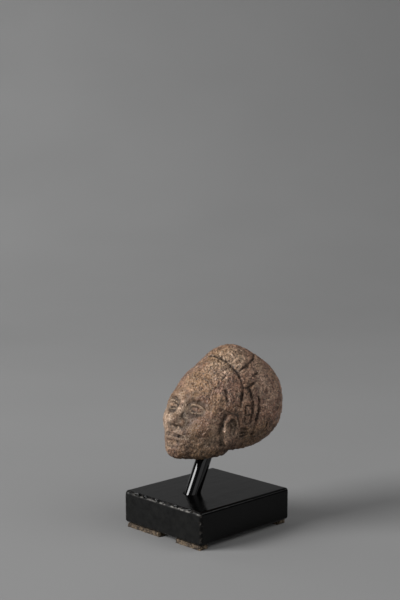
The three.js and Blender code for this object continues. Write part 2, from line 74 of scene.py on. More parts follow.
def tilt_back(y: Array, z: Array, degrees: float) -> tuple[Array, Array]:
    """Turns places about x, so that what was level rises towards +y.

    Args:
        y: How far back each place is.
        z: How high each place is.
        degrees: The turn.

    Returns:
        The turned y and z.
    """
    c, s = math.cos(math.radians(degrees)), math.sin(math.radians(degrees))
    return c * y + s * z, c * z - s * y


def smooth_min(a: Array, b: Array, k: float | Array) -> Array:
    """Joins two distances with a fillet.

    Args:
        a: The first distance.
        b: The second distance.
        k: How wide the fillet is.

    Returns:
        The distance to both forms together.
    """
    h = np.maximum(k - np.abs(a - b), 0) / k
    return np.minimum(a, b) - h * h * k / 4


def smooth_max(a: Array, b: Array, k: float) -> Array:
    """Cuts one distance by another with a fillet. Arguments as in smooth_min."""
    return -smooth_min(-a, -b, k)


def ramp(values: Array, low: float, high: float) -> Array:
    """Values as shares from 0 at low to 1 at high, eased at both ends."""
    t = np.clip((values - low) / (high - low), 0, 1)
    return t * t * (3 - 2 * t)


@dataclass(frozen=True)
class Lump:
    """An ellipsoid of stone, tilted about x."""

    centre: Point
    radii: Point
    tilt: float = 0.0

    @property
    def reach(self) -> float:
        """How far the lump goes from its centre."""
        return max(self.radii)

    def distance(self, points: Array) -> Array:
        """The distance from each point to the lump's surface, below zero inside."""
        q = points - np.array(self.centre)
        y, z = tilt_back(q[:, 1], q[:, 2], self.tilt)
        q = np.stack([q[:, 0], y, z], 1)
        r = np.array(self.radii)
        near = np.linalg.norm(q / r, axis=1)
        return near * (near - 1) / (np.linalg.norm(q / r**2, axis=1) + TINY)


@dataclass(frozen=True)
class Bar:
    """A rounded bar through points, with a radius at each."""

    points: tuple[Point, ...]
    radii: tuple[float, ...]

    @property
    def centre(self) -> Point:
        """The middle of the bar's points."""
        return tuple(np.mean(self.points, axis=0))

    @property
    def reach(self) -> float:
        """How far the bar goes from its centre."""
        away = np.linalg.norm(np.array(self.points) - self.centre, axis=1)
        return float(np.max(away + np.array(self.radii)))

    def distance(self, points: Array) -> Array:
        """The distance from each point to the bar's surface, below zero inside."""
        best = np.full(len(points), np.inf)
        for i in range(len(self.points) - 1):
            start = np.array(self.points[i])
            along = np.array(self.points[i + 1]) - start
            rel = points - start
            t = np.clip(rel @ along / (along @ along), 0, 1)
            away = np.linalg.norm(rel - t[:, None] * along, axis=1)
            best = np.minimum(best, away - self.radii[i] - t * (self.radii[i + 1] - self.radii[i]))
        return best


@dataclass(frozen=True)
class Lid:
    """An eyelid: half an ellipse across the eye, bowed back with the eyeball at its corners."""

    middle: Point
    half: float
    rise: float
    bow: float
    thin: float
    thick: float
    steps: int = 10
    swing: float = 0.7

    def bar(self) -> Bar:
        """The lid as a bar that is thickest in the middle."""
        angles = [math.pi * i / self.steps for i in range(self.steps + 1)]
        x, y, z = self.middle
        points = []
        for a in angles:
            across = -math.cos(a)
            back = self.bow * across**2 + self.swing * across
            points.append((x + self.half * across, y - back, z + self.rise * math.sin(a)))
        radii = [self.thin + (self.thick - self.thin) * math.sin(a) for a in angles]
        return Bar(tuple(points), tuple(radii))


class Working(Enum):
    """How a form is worked into the stone."""

    ADDED = "added"
    CUT = "cut"


@dataclass(frozen=True)
class Form:
    """One form of the carving."""

    shape: Lump | Bar
    blend: float
    working: Working = Working.ADDED

    def work(self, distance: Array, points: Array) -> Array:
        """Works this form into a distance.

        Args:
            distance: The distance so far at each point.
            points: The points.

        Returns:
            The distance with this form added or cut. Points too far away to be changed are passed over.
        """
        near = np.linalg.norm(points - np.array(self.shape.centre), axis=1) - self.shape.reach
        cuts = self.working is Working.CUT
        touched = near < (self.blend - distance if cuts else distance + self.blend)
        if not touched.any():
            return distance
        own = self.shape.distance(points[touched])
        out = distance.copy()
        if cuts:
            out[touched] = smooth_max(distance[touched], -own, self.blend)
        else:
            out[touched] = smooth_min(distance[touched], own, self.blend)
        return out


def add(shape: Lump | Bar, blend: float) -> Form:
    """A form that is left standing."""
    return Form(shape, blend)


def cut(shape: Lump | Bar, blend: float) -> Form:
    """A form that is taken out."""
    return Form(shape, blend, Working.CUT)


def worked(distance: Array, forms: Sequence[Form], points: Array) -> Array:
    """Works each form in turn into a distance. Arguments and result as in Form.work."""
    for form in forms:
        distance = form.work(distance, points)
    return distance


class Surface:
    """A closed surface given by its distance."""

    probe = 0.05

    def distance(self, points: Array) -> Array:
        """The distance from each point to the surface, below zero inside."""
        raise NotImplementedError

    def outward(self, points: Array) -> Array:
        """The way out of the surface at each point."""
        corners = np.array([(1, 1, 1), (1, -1, -1), (-1, 1, -1), (-1, -1, 1)], float)
        out = sum(k * self.distance(points + self.probe * k)[:, None] for k in corners)
        return out / (np.linalg.norm(out, axis=1, keepdims=True) + TINY)

    def settle(self, points: Array, rounds: int, step: float = 0.9) -> Array:
        """Slides points that are near the surface onto it.

        Args:
            points: The points.
            rounds: How many times each is moved.
            step: The share of the distance that each move takes.

        Returns:
            The moved points.
        """
        for _ in range(rounds):
            points = points - step * self.distance(points)[:, None] * self.outward(points)
        return points


@dataclass(frozen=True)
class FaceFrame:
    """The face's own frame, from the point between the eyes: x across, y out of the face, z up it."""

    origin: Point = (0, -19.6, 83.2)
    looks_up: float = 22
    scale: float = 0.885
    reach: float = 60

    def inside(self, points: Array) -> Array:
        """Points of the head in the face's frame."""
        back, up = tilt_back(points[:, 1] - self.origin[1], points[:, 2] - self.origin[2], -self.looks_up)
        return np.stack([points[:, 0], -back, up], 1) / self.scale


@dataclass(frozen=True)
class HeadStone(Surface):
    """The carved head, without its strokes. Both sides are alike, so the left is folded onto the right."""

    face: FaceFrame = FaceFrame()
    face_blend: tuple[float, float] = (9, 14)
    face_blend_between: tuple[float, float] = (60, 75)
    neck_end: float = 46.9
    neck_edge: float = 6
    ear_lean: float = -15

    cranium: tuple[Form, ...] = (
        add(Lump((0, 21, 80.5), (32.5, 38.5, 32.5), 12), 1),
        add(Lump((0, 32.5, 73.2), (26.5, 23.5, 22)), 6),
        add(Lump((0, 19.2, 103.3), (10.5, 15, 14.2), -4), 13),
    )
    neck: tuple[Form, ...] = (add(Bar(((0, 4, 66), (0, 1.8, 50)), (13.5, 12.6)), 1.5),)
    masses: tuple[Form, ...] = (
        add(Lump((0, -24, 4), (24, 24, 24)), 1),
        add(Lump((0, -14, -17), (19.5, 16, 17)), 12),
        add(Lump((14, -8.5, -11), (10, 9, 9)), 8),
        add(Bar(((0, -6.5, -31.5), (15, -15, -27), (22, -29, -14)), (6, 6.5, 6)), 10),
        add(Lump((0, -3.5, -30.5), (8.5, 7, 6.5)), 6),
        add(Lump((0, -5, -21), (13, 9.5, 9)), 7),
    )
    eyes: tuple[Form, ...] = (
        cut(Lump((11.4, 3.8, 0.4), (7.4, 4.8, 5.4)), 5),
        add(
            Bar(
                ((3, -0.3, 5.4), (8, 0.9, 7.6), (13, -0.5, 8.2), (17.5, -4.4, 7), (20.5, -8.5, 4.5)),
                (2.1, 2.2, 2.1, 1.8, 1.6),
            ),
            5,
        ),
        add(Lump((19.5, -10, -1), (6, 6, 7)), 5),
        add(Lump((11.8, -4.4, -0.6), (6.6, 6.2, 5.0)), 1.2),
        add(Lid((11.6, 1.9, -1.0), 6.6, 3.3, 3.2, 0.65, 1.1).bar(), 0.8),
        add(Lid((11.6, 1.5, -1.0), 6.4, -3.0, 3.2, 0.55, 0.85).bar(), 0.8),
    )
    nose: tuple[Form, ...] = (
        add(Bar(((0, 0, 5), (0, 3.2, -5), (0, 6.6, -11)), (2.4, 2.8, 3.6)), 3.5),
        add(Lump((0, 7.2, -12.3), (4.6, 4, 3.7)), 2),
        add(Lump((5.2, 3.4, -12.8), (3, 3.8, 2.9)), 2.4),
        cut(Lump((2.9, 6.4, -16.6), (1.6, 2.4, 1.5)), 0.8),
        cut(Bar(((0, 6.9, -17), (0, 6.9, -19)), (1, 1.3)), 1.2),
    )
    mouth: tuple[Form, ...] = (
        add(Bar(((0, 4.4, -20.7), (2.6, 4.6, -20), (6.4, 2.8, -20.9), (10.2, -1, -22.2)), (1.6, 1.9, 1.6, 0.8)), 1),
        add(Bar(((0, 4, -24.6), (4.8, 3.2, -24.3), (9.4, -0.6, -22.8)), (2.3, 2, 0.9)), 1.2),
        cut(Bar(((0, 6.7, -22.3), (5, 5.2, -22.3), (10.6, 0.6, -22.4)), (0.8, 0.8, 0.7)), 0.7),
        cut(Lump((0, 6.4, -28.4), (7, 3.4, 1.8)), 3),
    )
    ear: tuple[Form, ...] = (
        add(Lump((25.6, -6.1, 68.3), (3.2, 4.3, 8.8), -15), 2.5),
        add(
            Bar(
                (
                    (25.8, -9.5, 70.8),
                    (26.8, -9.3, 75.3),
                    (28.0, -6.9, 78.5),
                    (28.8, -3.6, 77.3),
                    (28.8, -2.1, 72.3),
                    (27.8, -3.3, 65.8),
                    (25.0, -6.5, 60.8),
                ),
                (1.2, 1.4, 1.6, 1.7, 1.7, 1.7, 2.1),
            ),
            1.2,
        ),
        cut(Lump((29.2, -6.1, 70.9), (2, 2.4, 5), -15), 1.2),
        add(Bar(((26.3, -9.9, 70.3), (26.0, -9.9, 67.3)), (1.5, 1.6)), 1.2),
        add(
            Bar(
                ((27.2, -5.7, 74.7), (28.1, -4.3, 71.9), (27.4, -4.7, 67.3), (26.4, -7.1, 64.3)),
                (0.8, 0.9, 0.9, 0.8),
            ),
            1,
        ),
        cut(Lump((24.8, -12.4, 64.8), (2.6, 2, 3.6)), 2),
    )

    def distance(self, points: Array) -> Array:
        """The distance from each point to the carved stone."""
        p = points.copy()
        p[:, 0] = np.abs(p[:, 0])
        d = worked(np.full(len(p), 1e3), self.cranium, p)
        q = self.face.inside(p)
        masses = worked(np.full(len(p), 1e3), self.masses, q) * self.face.scale
        low, high = self.face_blend_between
        share = np.clip((p[:, 2] - low) / (high - low), 0, 1)
        d = smooth_min(d, masses, self.face_blend[0] + (self.face_blend[1] - self.face_blend[0]) * share)
        d = worked(d, self.neck, p)
        d = smooth_max(d, self.neck_end - p[:, 2], self.neck_edge)
        near = np.linalg.norm(q, axis=1) < self.face.reach
        features = (*self.eyes, *self.nose, *self.mouth)
        d[near] = worked(d[near] / self.face.scale, features, q[near]) * self.face.scale
        return worked(d, self.ear, p)


@dataclass(frozen=True)
class Stroke:
    """A line cut with a V graver along places on the stone."""

    points: tuple[Point, ...]
    width: float = 2.5
    depth: float = 1.3

    def mirrored(self) -> "Stroke":
        """The same stroke on the other side of the head."""
        return Stroke(tuple((-x, y, z) for x, y, z in self.points), self.width, self.depth)

    def lowered(self, fall: float) -> "Stroke":
        """The same stroke further down."""
        return Stroke(tuple((x, y, z - fall) for x, y, z in self.points), self.width, self.depth)


FINE = {"width": 2.0, "depth": 1.1}
BROAD = {"width": 3.2, "depth": 0.9}
DEEP = {"width": 2.5, "depth": 1.6}


def cap_strokes() -> list[Stroke]:
    """The strokes of the cap: the band from ear to ear, the lines over the crown, the ladder and the bent cuts."""
    rung = Stroke(((29.9, 5.2, 84.1), (31.3, 10.8, 83.8)), **FINE)
    bent = Stroke(((28, 2.2, 69.2), (28.6, 5.5, 67.9), (28.9, 10.2, 67.6)), **DEEP)
    band_front = (
        (29.1, 2.5, 83.1),
        (28.6, 2.6, 85.9),
        (27.6, 4.6, 91),
        (26.7, 6.9, 94.5),
        (23.1, 8.2, 100.3),
        (19.2, 8.6, 104.3),
        (12.2, 7.7, 109.7),
    )
    behind_band = ((30.9, 17, 89.7), (32.2, 15.5, 79.8), (30.9, 14.2, 71.8), (28.9, 14.4, 66.2), (25.7, 14.5, 60.9))
    right = [
        Stroke(band_front),
        Stroke(((12.6, 7.9, 109.4), (6, 6.2, 111.4), (0, 5.6, 112.2)), **FINE),
        Stroke(((27.6, 11.5, 95.2), (30.7, 11, 86.8), (31.4, 10.4, 78.3), (30.1, 9.7, 71))),
        Stroke(behind_band, **DEEP),
        Stroke(((19.3, 9.5, 104.6), (18.3, 19.3, 108), (14.8, 28.4, 110.4), (9, 35.5, 112.8)), **FINE),
        Stroke(((27, 7.5, 94.4), (27.3, 12.8, 96.3), (27, 20.5, 98.8)), **FINE),
        Stroke(((24.7, 16.4, 101.1), (23.5, 24.7, 103.1)), **FINE),
        Stroke(((20.6, -4, 96.5), (22.7, -5.1, 91.7), (24.8, -5.8, 85.6)), **BROAD),
        Stroke(((31, 27.5, 72.5), (30.2, 26, 69.3), (26.1, 24.2, 61.2)), **DEEP),
        Stroke(((29.8, 5.6, 84.7), (30.1, 5, 78.3), (29.5, 4.6, 72.6)), **FINE),
        *(rung.lowered(fall) for fall in (0, 6.2, 12.4)),
        *(bent.lowered(fall) for fall in (0, 2.7, 5.4)),
    ]
    return right + [stroke.mirrored() for stroke in right]


def nicks(stone: HeadStone, count: int = 150, seed: int = 7) -> list[Stroke]:
    """Short slips of the tool, scattered over the head but for the middle of the face.

    Args:
        stone: The stone that they are cut into.
        count: How many are tried.
        seed: Which scatter.

    Returns:
        The nicks, thickest about the bands.
    """
    rng = np.random.default_rng(seed)
    marks = []
    for i in range(count):
        by_the_band = i % 2
        side = rng.choice((-1, 1))
        back = rng.uniform(1, 20) if by_the_band else rng.uniform(-22, 50)
        place = np.array((side * rng.uniform(12, 34), back, rng.uniform(58, 114)))
        place = stone.settle(place[None], 12, 0.7)[0]
        way = rng.normal(size=3) * (0.4, 1.5, 0.5) if by_the_band else rng.normal(size=3)
        length = rng.uniform(2, 6)
        width = rng.uniform(0.9, 1.7)
        deep = rng.uniform(0.4, 0.8)
        out = stone.outward(place[None])[0]
        way -= (way @ out) * out
        way /= np.linalg.norm(way)
        featured = np.linalg.norm(stone.face.inside(place[None])[0] - np.array((0, 2, -9))) < 24
        in_the_ear = np.linalg.norm(np.abs(place) * (1, 0, 0) + place * (0, 1, 1) - np.array((28, -5, 70))) < 11
        if not featured and not in_the_ear:
            ends = (tuple(place - way * length / 2), tuple(place + way * length / 2))
            marks.append(Stroke(ends, width, deep))
    return marks


@dataclass(frozen=True)
class Patch:
    """A place on the stone with a colour or wear of its own, or with painted shade or light."""

    centre: Point
    reach: float
    strength: float = 1.0


def to_linear(colour: str) -> tuple[float, float, float, float]:
    """An sRGB hex colour as the linear colour that the shaders take.

    Args:
        colour: Six hex digits, with or without a leading mark.

    Returns:
        Red, green, blue and alpha.
    """
    digits = colour.lstrip("#")
    channels = [int(digits[i : i + 2], 16) / 255 for i in (0, 2, 4)]
    linear = [c / 12.92 if c <= 0.04045 else ((c + 0.055) / 1.055) ** 2.4 for c in channels]
    return (*linear, 1.0)


def per_mm(size: float) -> float:
    """The scale of a texture whose pattern repeats every so many millimetres."""
    return 1 / (size * MM)


def add_node(tree: bpy.types.NodeTree, kind: str, settings: dict | None = None, inputs: dict | None = None) -> bpy.types.Node:
    """Adds one node with its settings and its links.

    Args:
        tree: The material's node tree.
        kind: The node's type name.
        settings: Values for the node's own properties.
        inputs: Values, or outputs of other nodes, by the name or number of the input they go to.

    Returns:
        The node.
    """
    node = tree.nodes.new(kind)
    for name, value in (settings or {}).items():
        setattr(node, name, value)
    for name, value in (inputs or {}).items():
        if isinstance(value, bpy.types.NodeSocket):
            tree.links.new(value, node.inputs[name])
        else:
            node.inputs[name].default_value = value
    return node


def add_ramp(tree: bpy.types.NodeTree, factor: bpy.types.NodeSocket, stops: Sequence[tuple[float, str]]) -> bpy.types.NodeSocket:
    """Adds a colour ramp.

    Args:
        tree: The material's node tree.
        factor: What is looked up in the ramp.
        stops: The places and sRGB hex colours of its stops.

    Returns:
        The ramp's colour.
    """
    node = add_node(tree, "ShaderNodeValToRGB", inputs={"Fac": factor})
    elements = node.color_ramp.elements
    while len(elements) < len(stops):
        elements.new(1)
    for element, (place, colour) in zip(elements, stops, strict=True):
        element.position = place
        element.color = to_linear(colour)
    return node.outputs["Color"]


def add_range(tree: bpy.types.NodeTree, value: bpy.types.NodeSocket, source: tuple[float, float], target: tuple[float, float] = (0, 1)) -> bpy.types.NodeSocket:
    """Adds a node that turns one range of numbers into another and holds it at both ends."""
    inputs = {"Value": value, "From Min": source[0], "From Max": source[1], "To Min": target[0], "To Max": target[1]}
    return add_node(tree, "ShaderNodeMapRange", {"clamp": True}, inputs).outputs["Result"]


def add_mix(tree: bpy.types.NodeTree, factor: bpy.types.NodeSocket | float, first: object, second: object, blend: str = "MIX") -> bpy.types.NodeSocket:
    """Adds a node that mixes two colours. In it 0 is the factor, 6 and 7 are the colours."""
    settings = {"data_type": "RGBA", "blend_type": blend}
    return add_node(tree, "ShaderNodeMix", settings, {0: factor, 6: first, 7: second}).outputs[2]


def add_math(tree: bpy.types.NodeTree, operation: str, first: object, second: object = 0.0) -> bpy.types.NodeSocket:
    """Adds a node that works out one number from two."""
    return add_node(tree, "ShaderNodeMath", {"operation": operation}, {0: first, 1: second}).outputs[0]


class Finish:
    """A finish, which is a material made from nodes."""

    name = "finish"

    def build(self) -> bpy.types.Material:
        """The finish as a material."""
        material = bpy.data.materials.new(self.name)
        material.use_nodes = True
        tree = material.node_tree
        tree.nodes.clear()
        shader = add_node(tree, "ShaderNodeBsdfPrincipled")
        add_node(tree, "ShaderNodeOutputMaterial", inputs={"Surface": shader.outputs["BSDF"]})
        self.dress(tree, shader)
        return material

    def dress(self, tree: bpy.types.NodeTree, shader: bpy.types.Node) -> None:
        """Adds the finish's own nodes.

        Args:
            tree: The material's node tree.
            shader: The node that they go to.
        """
        raise NotImplementedError

    @staticmethod
    def place(tree: bpy.types.NodeTree) -> bpy.types.NodeSocket:
        """Where on the piece the shader is, in metres."""
        return add_node(tree, "ShaderNodeTexCoord").outputs["Object"]

    @staticmethod
    def attribute(tree: bpy.types.NodeTree, name: str) -> bpy.types.NodeSocket:
        """A number that the mesh carries at each vertex."""
        return add_node(tree, "ShaderNodeAttribute", {"attribute_name": name}).outputs["Fac"]

    @staticmethod
    def clouds(tree: bpy.types.NodeTree, vector: bpy.types.NodeSocket, size: float, detail: float = 4, roughness: float = 0.5, distortion: float = 0) -> bpy.types.NodeSocket:
        """Cloudy noise with its largest forms size millimetres across."""
        inputs = {"Vector": vector, "Scale": per_mm(size), "Detail": detail, "Roughness": roughness, "Distortion": distortion}
        return add_node(tree, "ShaderNodeTexNoise", inputs=inputs).outputs["Fac"]


@dataclass(frozen=True)
class Steatite(Finish):
    """Soapstone, carved, rubbed and handled.

    The stone is soft and takes only a dull polish, so lights on it are broad and weak. Its talc and iron make
    a mottle of grey-brown, purple-brown and ochre, with pale and dark grains about a millimetre across. The
    grains are drawn a little coarser than real ones, or they would not show. Dirt has darkened every cut.
    Shade is painted in as well: the hollows, the creases, the cuts and the undersides are darker. Painted
    highlights lighten the ridges and the front-left of the face, where the stone is also paler from rubbing.
    """

    name = "steatite"
    mottle_mm: float = 15
    cloud_mm: float = 4.2
    grain_mm: float = 1.1
    fleck_mm: float = 1.25
    scrape_mm: float = 1.2
    scrape_length: float = 5
    scrape_turns: tuple[Point, Point] = ((1.13, 0, 0), (-0.45, 0, 0.7))
    skin_mm: float = 1.5
    pit_mm: float = 1.9

    def dress(self, tree: bpy.types.NodeTree, shader: bpy.types.Node) -> None:
        """Adds the mottle, the grains, the patches, the dirt with the painted shade, the painted highlights and the
        pitted surface.
        """
        place = self.place(tree)
        mottle = self.clouds(tree, place, self.mottle_mm, 3, 0.55, 0.6)
        body = add_ramp(tree, mottle, ((0.32, "735643"), (0.45, "8b6a54"), (0.58, "9a7762"), (0.7, "a8896f")))
        purple = self.attribute(tree, "purple")
        body = add_mix(tree, add_math(tree, "MULTIPLY", purple, 0.55), body, to_linear("866558"))
        ochre = self.attribute(tree, "ochre")
        body = add_mix(tree, add_math(tree, "MULTIPLY", ochre, 0.5), body, to_linear("a98862"))
        cloud = self.clouds(tree, place, self.cloud_mm, 6, 0.75)
        light = add_range(tree, cloud, (0.34, 0.66), (0.6, 1.4))
        # Pale patches: paler, rubbed stone, with painted light on the front-left of the face, which faces the key
        # light.
        pale = add_math(tree, "MULTIPLY", self.attribute(tree, "pale"), add_range(tree, cloud, (0.35, 0.6)))
        body = add_mix(tree, add_math(tree, "MULTIPLY", pale, 0.95), body, to_linear("dfc2a8"))
        coarse = add_range(tree, self.attribute(tree, "coarse"), (0, 1), (0.55, 1.2))
        grit = self.clouds(tree, place, self.grain_mm, 1, 0.5)
        ways = []
        for turn in self.scrape_turns:
            inputs = {"Vector": place, "Rotation": turn, "Scale": (1, self.scrape_length, 1)}
            along = add_node(tree, "ShaderNodeMapping", {"vector_type": "TEXTURE"}, inputs).outputs[0]
            ways.append(self.clouds(tree, along, self.scrape_mm, 2, 0.5, 0.4))
        inputs = {0: add_range(tree, mottle, (0.46, 0.54)), 2: ways[0], 3: ways[1]}
        scrapes = add_node(tree, "ShaderNodeMix", {"data_type": "FLOAT"}, inputs).outputs[0]
        grit_tone = add_range(tree, grit, (0.3, 0.7), (-0.34, 0.42))
        scrape_tone = add_range(tree, scrapes, (0.3, 0.7), (-0.55, 0.6))
        change = add_math(tree, "MULTIPLY", coarse, add_math(tree, "ADD", grit_tone, scrape_tone))
        tone = add_math(tree, "MULTIPLY", light, add_math(tree, "MAXIMUM", add_math(tree, "ADD", change, 1.0), 0.15))
        body = add_node(tree, "ShaderNodeVectorMath", {"operation": "SCALE"}, {0: body, 3: tone}).outputs[0]
        fleck = add_node(tree, "ShaderNodeMapping", inputs={"Vector": place, "Location": (0.5, 0.3, 0.7)}).outputs[0]
        flecks = self.clouds(tree, fleck, self.fleck_mm, 1, 0.5)
        bright = add_math(tree, "MULTIPLY", coarse, add_range(tree, flecks, (0.64, 0.74), (0, 0.6)))
        body = add_mix(tree, bright, body, to_linear("e0cab0"))
        dark = add_math(tree, "MULTIPLY", coarse, add_range(tree, flecks, (0.33, 0.25), (0, 0.3)))
        body = add_mix(tree, dark, body, to_linear("2a1f18"))
        # Ridges lightened: rubbed stone, with a painted highlight on edges that catch the light; rubbing also makes
        # them glossier.
        worn_and_highlit = add_math(tree, "MULTIPLY", self.attribute(tree, "ridge_wear_and_highlight"), add_range(tree, grit, (0.3, 0.6)))
        body = add_mix(tree, add_math(tree, "MULTIPLY", worn_and_highlit, 0.6), body, to_linear("cbb296"))
        # Dirt in the cuts and painted shade in the hollows, the creases and the undersides darken the stone and make it
        # rougher.
        grime_and_shade = self.attribute(tree, "grime_and_shade")
        dirt_and_shade = add_math(tree, "MULTIPLY", grime_and_shade, add_range(tree, cloud, (0.3, 0.65), (1.0, 0.6)))
        body = add_mix(tree, dirt_and_shade, body, to_linear("1f1610"))
        tree.links.new(body, shader.inputs["Base Color"])

        gloss = add_range(tree, cloud, (0.3, 0.7), (0.5, 0.33))
        gloss = add_math(tree, "SUBTRACT", gloss, add_math(tree, "MULTIPLY", self.attribute(tree, "pale"), 0.14))
        gloss = add_math(tree, "SUBTRACT", gloss, add_math(tree, "MULTIPLY", worn_and_highlit, 0.12))
        rough = add_math(tree, "ADD", gloss, add_math(tree, "MULTIPLY", grime_and_shade, 0.35))
        tree.links.new(rough, shader.inputs["Roughness"])
        shader.inputs["IOR"].default_value = 1.55

        skin = self.clouds(tree, place, self.skin_mm, 2, 0.55)
        pits = add_node(tree, "ShaderNodeTexVoronoi", inputs={"Vector": place, "Scale": per_mm(self.pit_mm)})
        some = add_node(tree, "ShaderNodeSeparateColor", inputs={0: pits.outputs["Color"]})
        hole = add_math(
            tree,
            "MULTIPLY",
            add_range(tree, pits.outputs["Distance"], (0.36, 0.1)),
            add_range(tree, some.outputs[0], (0.5, 0.7)),
        )
        height = add_math(tree, "SUBTRACT", add_math(tree, "ADD", skin, add_math(tree, "MULTIPLY", scrapes, 1.0)), hole)
        bump = add_node(tree, "ShaderNodeBump", inputs={"Strength": 1.0, "Distance": 0.9 * MM, "Height": height})
        tree.links.new(bump.outputs["Normal"], shader.inputs["Normal"])


@dataclass(frozen=True)
class BlackLacquer(Finish):
    """Black lacquer brushed over a wooden block.

    It mirrors softly on the top and the long sides. Across the ends the grain has drunk the lacquer unevenly,
    which leaves a blotchy, greyer sheen, and along the edges it has worn and chipped. A pale highlight is
    painted along the front upper edge, broken where it is chipped.
    """

    name = "black_lacquer"
    blotch_mm: float = 5
    pore_mm: float = 0.9
    streak_mm: float = 3

    def dress(self, tree: bpy.types.NodeTree, shader: bpy.types.Node) -> None:
        """Adds the blotches of the end grain, the streaks on top, the worn edges and the painted highlight along the
        front upper edge.
        """
        place = self.place(tree)
        ends = self.attribute(tree, "end_grain")
        wear = self.attribute(tree, "wear")
        blotch = self.clouds(tree, place, self.blotch_mm, 5, 0.6, 0.4)
        black = add_ramp(tree, blotch, ((0.35, "030303"), (0.7, "060606")))
        dull = add_ramp(tree, blotch, ((0.3, "060606"), (0.7, "1e1e1d")))
        colour = add_mix(tree, ends, black, dull)
        colour = add_mix(tree, add_math(tree, "MULTIPLY", wear, 0.6), colour, to_linear("4a4642"))
        # Painted highlight: a pale line along the front upper edge.
        colour = add_mix(tree, self.attribute(tree, "painted_edge_highlight"), colour, to_linear("a9a5a0"))
        tree.links.new(colour, shader.inputs["Base Color"])
        rough = add_range(tree, blotch, (0.3, 0.7), (0.6, 0.32))
        shader.inputs["IOR"].default_value = 1.28
        grain = add_node(tree, "ShaderNodeMapping", inputs={"Vector": place, "Scale": (1, 0.06, 1)}).outputs[0]
        streaks = self.clouds(tree, grain, self.streak_mm, 4, 0.6)
        smooth = add_range(tree, streaks, (0.35, 0.65), (0.1, 0.24))
        sheen = add_node(tree, "ShaderNodeMix", {"data_type": "FLOAT"}, {0: ends, 2: smooth, 3: rough}).outputs[0]
        tree.links.new(sheen, shader.inputs["Roughness"])
        pores = self.clouds(tree, place, self.pore_mm, 5, 0.65)
        mixed = add_node(tree, "ShaderNodeMix", {"data_type": "FLOAT"}, {0: ends, 2: streaks, 3: pores}).outputs[0]
        depth = add_range(tree, ends, (0, 1), (0.35, 0.7))
        bump = add_node(tree, "ShaderNodeBump", inputs={"Strength": depth, "Distance": 0.18 * MM, "Height": mixed})
        tree.links.new(bump.outputs["Normal"], shader.inputs["Normal"])


@dataclass(frozen=True)
class BlackEnamel(Finish):
    """Gloss black enamel baked on a steel rod: a near mirror, with a haze that comes and goes along it."""

    name = "black_enamel"
    swell_mm: float = 6

    def dress(self, tree: bpy.types.NodeTree, shader: bpy.types.Node) -> None:
        """Adds the slight haze."""
        shader.inputs["Base Color"].default_value = to_linear("060607")
        shader.inputs["IOR"].default_value = 1.55
        haze = self.clouds(tree, self.place(tree), self.swell_mm, 3, 0.5)
        tree.links.new(add_range(tree, haze, (0.3, 0.7), (0.04, 0.08)), shader.inputs["Roughness"])


@dataclass(frozen=True)
class Cork(Finish):
    """Pressed cork: tan granules about a millimetre and a half across, dark at their joints, quite matt."""

    name = "cork"
    granule_mm: float = 1.5

    def dress(self, tree: bpy.types.NodeTree, shader: bpy.types.Node) -> None:
        """Adds the granules."""
        place = self.place(tree)
        cells = add_node(tree, "ShaderNodeTexVoronoi", inputs={"Vector": place, "Scale": per_mm(self.granule_mm)})
        tint = add_node(tree, "ShaderNodeSeparateColor", inputs={0: cells.outputs["Color"]}).outputs[0]
        body = add_ramp(tree, tint, ((0.1, "443b32"), (0.5, "67594b"), (0.9, "84735f")))
        joint = add_range(tree, cells.outputs["Distance"], (0.45, 0.75))
        body = add_mix(tree, add_math(tree, "MULTIPLY", joint, 0.6), body, to_linear("2a221b"))
        tree.links.new(body, shader.inputs["Base Color"])
        shader.inputs["Roughness"].default_value = 0.9
        shader.inputs["IOR"].default_value = 1.45
        inputs = {"Strength": 0.8, "Distance": 0.3 * MM, "Height": cells.outputs["Distance"]}
        bump = add_node(tree, "ShaderNodeBump", {"invert": True}, inputs)
        tree.links.new(bump.outputs["Normal"], shader.inputs["Normal"])


@dataclass(frozen=True)
class StudioPaper(Finish):
    """Plain pale seamless paper: quite matt, one even colour with a trace of cloud."""

    name = "studio_paper"

    def dress(self, tree: bpy.types.NodeTree, shader: bpy.types.Node) -> None:
        """Adds the colour."""
        cloud = self.clouds(tree, self.place(tree), 300, 2)
        tree.links.new(add_ramp(tree, cloud, ((0.3, "a3a3a3"), (0.7, "a7a7a7"))), shader.inputs["Base Color"])
        shader.inputs["Roughness"].default_value = 0.95


@dataclass
class Workshop:
    """Where meshes become pieces: it knows where the middle of the plinth is among the solids."""

    origin: Vector = field(init=False)

    def __post_init__(self) -> None:
        low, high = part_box("plinth")
        self.origin = Vector(((low.x + high.x) / 2, (low.y + high.y) / 2, 0))

    def room(self, node: str) -> tuple[Array, Array]:
        """The lowest and highest corners of a solid, in millimetres about the middle of the plinth."""
        return tuple(np.array(corner - self.origin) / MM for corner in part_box(node))

    def piece(self, bm: bmesh.types.BMesh, name: str, node: str, slot: str, material: bpy.types.Material) -> bpy.types.Object:
        """Turns a mesh in millimetres into a piece that rides on the solids' body.

        Args:
            bm: The mesh, about the middle of the plinth's footprint.
            name: The piece's name.
            node: The solid that it stands for.
            slot: The record's material slot; not used.
            material: Its finish.

        Returns:
            The piece.
        """
        bmesh.ops.recalc_face_normals(bm, faces=bm.faces[:])
        bmesh.ops.transform(bm, matrix=Matrix.Translation(self.origin) @ Matrix.Scale(MM, 4), verts=bm.verts[:])
        for face in bm.faces:
            face.smooth = True
        mesh = bpy.data.meshes.new(name)
        bm.to_mesh(mesh)
        bm.free()
        mesh.materials.append(material)
        piece = bpy.data.objects.new(name, mesh)
        bpy.context.scene.collection.objects.link(piece)
        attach(piece, "root")
        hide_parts(node)
        LOG.info("%s: %d faces, for %s", name, len(mesh.polygons), node)
        return piece


